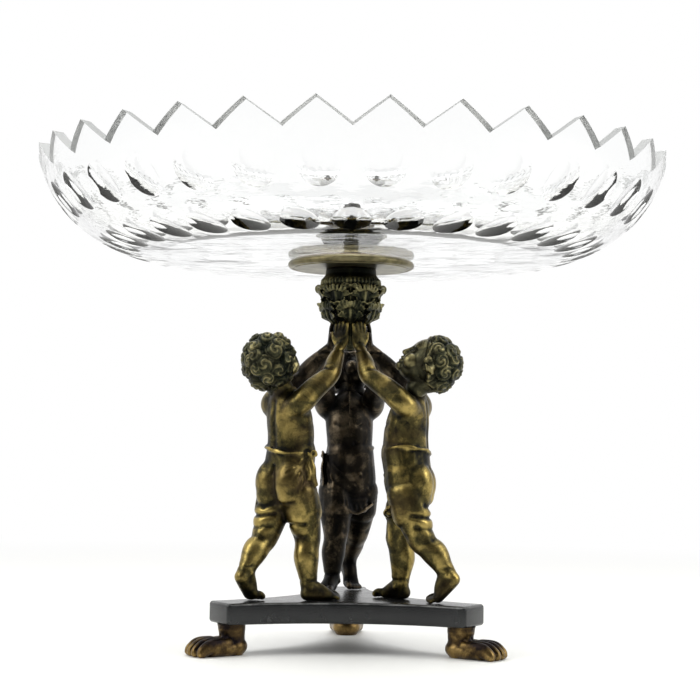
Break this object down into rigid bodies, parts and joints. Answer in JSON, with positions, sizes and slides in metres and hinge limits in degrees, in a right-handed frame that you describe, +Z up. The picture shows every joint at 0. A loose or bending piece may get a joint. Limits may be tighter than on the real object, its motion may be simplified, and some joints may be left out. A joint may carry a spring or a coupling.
{
  "type": "footed centrepiece bowl",
  "caption": "Round cut-glass bowl with a toothed rim on a bronze stand: child figures on a three-cornered plinth with paw feet hold up a leaf capital.",
  "frame": {"origin": "on the table, under the middle of the bowl", "axes": "+Z up; the front, -Y, is a hollow side of the plinth between two of its corners, and +Y points to the third corner"},
  "size_m": [0.3184, 0.3184, 0.2479],
  "materials": {
    "glass": "clear cut and polished lead glass",
    "plate_brass": "olive brass, softly polished",
    "gilded_bronze": "worn gilding over dark bronze",
    "dark_bronze": "dark brown-green patina",
    "paw_bronze": "brown-gold bronze",
    "black_patina": "black satin patina, worn at the edges",
    "steel": "plain steel",
    "leather": "thin tan leather"
  },
  "bodies": {
    "root": {"glass_bowl": "glass", "finial_nut": "plate_brass", "finial_washer": "leather", "glass_pad": "leather", "centre_stud": "steel", "bowl_plate": "plate_brass", "leaf_capital": "dark_bronze", "plinth": "black_patina", "putto_body_front_left": "gilded_bronze", "putto_left_arm_front_left": "gilded_bronze", "putto_right_arm_front_left": "gilded_bronze", "paw_front_left": "paw_bronze", "paw_stud_front_left": "steel", "right_foot_nut_front_left": "steel", "left_foot_nut_front_left": "steel", "putto_body_front_right": "gilded_bronze", "putto_left_arm_front_right": "gilded_bronze", "putto_right_arm_front_right": "gilded_bronze", "paw_front_right": "paw_bronze", "paw_stud_front_right": "steel", "right_foot_nut_front_right": "steel", "left_foot_nut_front_right": "steel", "putto_body_back": "dark_bronze", "putto_left_arm_back": "dark_bronze", "putto_right_arm_back": "dark_bronze", "paw_back": "paw_bronze", "paw_stud_back": "steel", "right_foot_nut_back": "steel", "left_foot_nut_back": "steel"}
  },
  "joints": []
}
